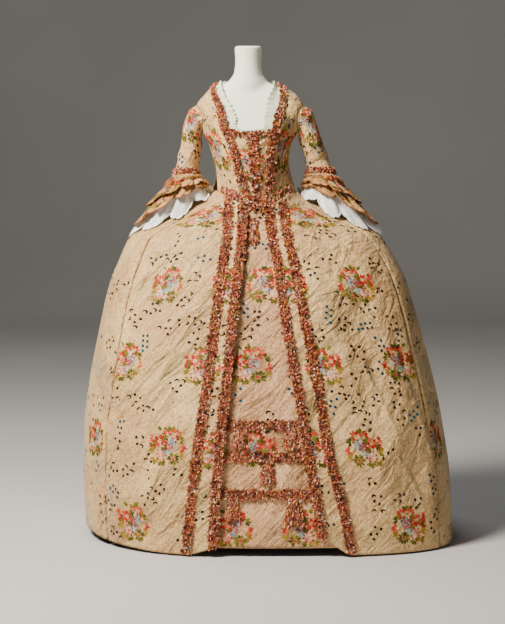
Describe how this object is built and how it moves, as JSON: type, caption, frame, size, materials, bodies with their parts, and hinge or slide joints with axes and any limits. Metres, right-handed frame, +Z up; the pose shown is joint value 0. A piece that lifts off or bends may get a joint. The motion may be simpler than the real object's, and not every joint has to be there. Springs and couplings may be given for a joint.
{
  "type": "robe a la francaise on a limbless dress form",
  "caption": "Court gown with an open front over a matching petticoat, pleated sack back, flounced elbow sleeves and fly-fringe trim, shown on a plain dress form.",
  "frame": {"origin": "on the floor, at the centre of the underside of the stand's round base", "axes": "+Z up from the hem to the neck, -Y towards the viewer and the gown's front opening, +X to the viewer's right"},
  "size_m": [1.1035, 0.9021, 1.45],
  "materials": {
    "form_cover": "matt off-white jersey pulled smooth over a limbless dress form",
    "stand_metal": "plain satin steel",
    "gown_silk": "pale gold silk faille brocaded with small bouquets, blue dots and curled dark spots",
    "petticoat_silk": "the same brocaded silk, a little pinker in the shade of the skirt opening",
    "fly_fringe": "knotted floss silk fly fringe in rust, salmon, cream, gold and maroon",
    "lace": "gathered off-white lace",
    "whitework": "white cotton with worked eyelets"
  },
  "bodies": {
    "root": {"form_torso": "form_cover", "form_neck_cap": "form_cover", "form_pole": "stand_metal", "form_base": "stand_metal", "bodice_front_left": "gown_silk", "bodice_front_right": "gown_silk", "stomacher": "gown_silk", "bodice_back": "gown_silk", "robing_fringe_left": "fly_fringe", "robing_fringe_right": "fly_fringe", "waist_fringe_left": "fly_fringe", "waist_fringe_right": "fly_fringe", "neckline_fringe": "fly_fringe", "stomacher_fringe": "fly_fringe", "back_neck_fringe": "fly_fringe", "neck_frill": "lace", "gown_front_left": "gown_silk", "gown_front_right": "gown_silk", "edge_fringe_left": "fly_fringe", "edge_fringe_right": "fly_fringe", "front_fringe_left": "fly_fringe", "front_fringe_right": "fly_fringe", "gown_side_left": "gown_silk", "gown_side_right": "gown_silk", "sack_back": "gown_silk", "petticoat_front": "petticoat_silk", "petticoat_back_left": "petticoat_silk", "petticoat_back_right": "petticoat_silk", "petticoat_band_1": "fly_fringe", "petticoat_band_2": "fly_fringe", "petticoat_band_3": "fly_fringe", "fringe_pendant_1": "fly_fringe", "fringe_pendant_2": "fly_fringe", "fringe_pendant_3": "fly_fringe", "fringe_pendant_4": "fly_fringe", "fringe_pendant_5": "fly_fringe", "fringe_pendant_6": "fly_fringe", "sleeve_left": "gown_silk", "sleeve_right": "gown_silk", "elbow_fringe_left": "fly_fringe", "elbow_fringe_right": "fly_fringe", "flounce_upper_left": "gown_silk", "flounce_upper_right": "gown_silk", "flounce_lower_left": "gown_silk", "flounce_lower_right": "gown_silk", "engageante_left": "whitework", "engageante_right": "whitework"}
  },
  "joints": []
}
